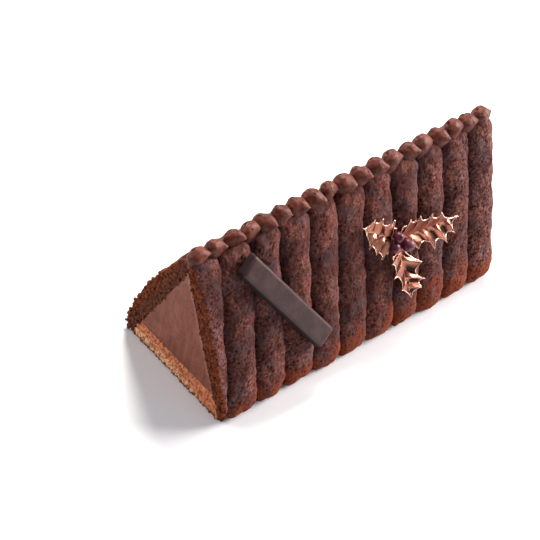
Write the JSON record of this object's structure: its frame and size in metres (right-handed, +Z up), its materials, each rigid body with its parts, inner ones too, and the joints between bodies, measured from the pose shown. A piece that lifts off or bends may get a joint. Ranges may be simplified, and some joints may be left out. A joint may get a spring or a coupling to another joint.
{
  "type": "yule log cake",
  "caption": "Ridge-shaped chocolate yule log: mousse on a sponge base, walled with sponge fingers, piped dots along the ridge, a chocolate bar and copper holly on one side.",
  "frame": {"origin": "middle of the underside of the whole cake's box, on the plate's surface", "axes": "+X along the log, away from the cut end; -Y is the decorated wall; +Z up"},
  "size_m": [0.2278, 0.0882, 0.1034],
  "materials": {
    "chocolate_sponge": "finely porous baked chocolate sponge, dull, rust brown at the tips",
    "plain_sponge": "open golden crumb, browner above",
    "chocolate_mousse": "smooth cut milk chocolate mousse with fine bubbles",
    "chocolate_cream": "satin piped chocolate cream",
    "dark_chocolate": "satin moulded dark chocolate",
    "copper_foil": "polished copper-coloured metallised trim",
    "berry_red": "glossy dark red"
  },
  "bodies": {
    "root": {"base_sponge": "plain_sponge", "mousse": "chocolate_mousse", "finger_front_01": "chocolate_sponge", "finger_front_02": "chocolate_sponge", "finger_front_03": "chocolate_sponge", "finger_front_04": "chocolate_sponge", "finger_front_05": "chocolate_sponge", "finger_front_06": "chocolate_sponge", "finger_front_07": "chocolate_sponge", "finger_front_08": "chocolate_sponge", "finger_front_09": "chocolate_sponge", "finger_front_10": "chocolate_sponge", "finger_front_11": "chocolate_sponge", "finger_back_01": "chocolate_sponge", "finger_back_02": "chocolate_sponge", "finger_back_03": "chocolate_sponge", "finger_back_04": "chocolate_sponge", "finger_back_05": "chocolate_sponge", "finger_back_06": "chocolate_sponge", "finger_back_07": "chocolate_sponge", "finger_back_08": "chocolate_sponge", "finger_back_09": "chocolate_sponge", "finger_back_10": "chocolate_sponge", "finger_back_11": "chocolate_sponge", "piped_dot_01": "chocolate_cream", "piped_dot_02": "chocolate_cream", "piped_dot_03": "chocolate_cream", "piped_dot_04": "chocolate_cream", "piped_dot_05": "chocolate_cream", "piped_dot_06": "chocolate_cream", "piped_dot_07": "chocolate_cream", "piped_dot_08": "chocolate_cream", "piped_dot_09": "chocolate_cream", "piped_dot_10": "chocolate_cream", "piped_dot_11": "chocolate_cream", "piped_dot_12": "chocolate_cream", "piped_dot_13": "chocolate_cream", "piped_dot_14": "chocolate_cream", "piped_dot_15": "chocolate_cream", "piped_dot_16": "chocolate_cream", "piped_dot_17": "chocolate_cream", "piped_dot_18": "chocolate_cream", "piped_dot_19": "chocolate_cream", "chocolate_bar": "dark_chocolate", "holly_leaf_1": "copper_foil", "holly_leaf_2": "copper_foil", "holly_leaf_3": "copper_foil", "holly_berry_1": "berry_red", "holly_berry_2": "berry_red", "holly_berry_3": "berry_red"}
  },
  "joints": []
}
